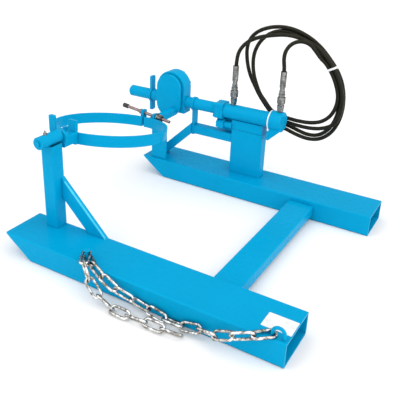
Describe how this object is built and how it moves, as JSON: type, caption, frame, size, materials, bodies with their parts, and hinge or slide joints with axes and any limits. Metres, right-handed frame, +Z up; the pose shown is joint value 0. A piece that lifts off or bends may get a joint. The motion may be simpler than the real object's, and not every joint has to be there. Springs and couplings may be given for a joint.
{
  "type": "drum tipper",
  "caption": "Fork-mounted drum tipper: two fork pockets, a tilting clamp ring on a trunnion axis, and a hydraulic cylinder that turns it through a rack and pinion.",
  "frame": {"origin": "on the floor below the middle of the part, hoses left out", "axes": "+X from the pocket tips to the heels where the forks enter, +Y from the chain side to the hydraulic side, +Z up"},
  "size_m": [1.122, 1.0423, 0.7002],
  "materials": {
    "paint_blue": "glossy blue enamel over welded steel",
    "zinc_chain": "bright zinc plating",
    "fitting_steel": "turned steel, zinc plated",
    "hose_rubber": "black hydraulic hose cover, slight sheen",
    "tie_nylon": "white nylon",
    "grip_plastic": "black grip",
    "screw_steel": "dull steel with an oily brown tint",
    "bush_bronze": "bearing bronze",
    "seal_rubber": "nitrile",
    "machined_steel": "machined steel",
    "plate_white": "white blank plate"
  },
  "bodies": {
    "frame": {"arm_end_plate": "paint_blue", "blank_plate": "plate_white", "case_bolts": "paint_blue", "chain_eye": "paint_blue", "chain_peg": "paint_blue", "cross_member": "paint_blue", "cylinder_barrel": "paint_blue", "cylinder_bolts": "paint_blue", "cylinder_front_flange": "paint_blue", "cylinder_gland": "paint_blue", "cylinder_rear_cap": "paint_blue", "cylinder_saddle": "paint_blue", "drive_bushes": "bush_bronze", "far_post": "paint_blue", "fork_pocket_far": "paint_blue", "fork_pocket_near": "paint_blue", "front_column": "paint_blue", "gear_case": "paint_blue", "gear_case_cover": "paint_blue", "grease_nipple": "fitting_steel", "hose_coil": "hose_rubber", "hose_end_fittings": "fitting_steel", "hose_front": "hose_rubber", "hose_rear": "hose_rubber", "hose_tie": "tie_nylon", "near_bearing_tube": "paint_blue", "near_brace": "paint_blue", "near_bush": "bush_bronze", "near_post": "paint_blue", "port_adapters": "fitting_steel", "quick_couplers": "fitting_steel", "rack_tube_bracket": "paint_blue", "rack_tube_front": "paint_blue", "rack_tube_rear": "paint_blue", "safety_chain": "zinc_chain", "stay_bar": "paint_blue", "support_arm": "paint_blue", "tip_plates": "paint_blue"},
    "cradle": {"near_trunnion_pin": "machined_steel", "pin_retainer": "paint_blue", "near_lug": "paint_blue", "ring_rear_half": "paint_blue", "ring_hinge_pin": "paint_blue", "rear_clamp_ear": "paint_blue", "clamp_nut": "fitting_steel", "far_hanger": "paint_blue", "drive_shaft": "machined_steel", "pinion_key": "machined_steel", "pinion": "machined_steel"},
    "ring_front": {"ring_front_half": "paint_blue", "front_clamp_ear": "paint_blue"},
    "clamp": {"clamp_screw": "screw_steel", "clamp_grip": "grip_plastic"},
    "rack": {"rack_bar": "machined_steel", "piston_rod": "machined_steel", "piston": "machined_steel", "piston_seals": "seal_rubber", "piston_nut": "machined_steel"},
    "sleeve_front": {"coupler_sleeve_front": "fitting_steel"},
    "sleeve_rear": {"coupler_sleeve_rear": "fitting_steel"}
  },
  "joints": [
    {"name": "drum_tip", "type": "hinge", "parent": "frame", "child": "cradle", "pos_m": [-0.339, 0.03655, 0.392], "axis": [0, -1, 0], "range_deg": [0, 135]},
    {"name": "rack_stroke", "type": "slide", "parent": "frame", "child": "rack", "axis": [1, 0, 0], "range_m": [0, 0.1132]},
    {"name": "ring_open", "type": "hinge", "parent": "cradle", "child": "ring_front", "pos_m": [-0.38027, -0.19424, 0.35914], "axis": [-0.0431, 0.1495, 0.9878], "range_deg": [0, 1.5]},
    {"name": "clamp_spin", "type": "hinge", "parent": "ring_front", "child": "clamp", "pos_m": [-0.39929, 0.22929, 0.33643], "axis": [0.9931, -0.0239, -0.1149], "continuous": true},
    {"name": "coupler_front_slide", "type": "slide", "parent": "frame", "child": "sleeve_front", "axis": [0, 0, 1], "range_m": [0, 0.0045], "stiffness_N_per_m": 600, "springref_m": -0.003},
    {"name": "coupler_rear_slide", "type": "slide", "parent": "frame", "child": "sleeve_rear", "axis": [0, 0, 1], "range_m": [0, 0.0045], "stiffness_N_per_m": 600, "springref_m": -0.003}
  ],
  "couplings": [
    {"joint": "rack_stroke", "follows": "drum_tip", "m_per_rad": 0.048}
  ]
}
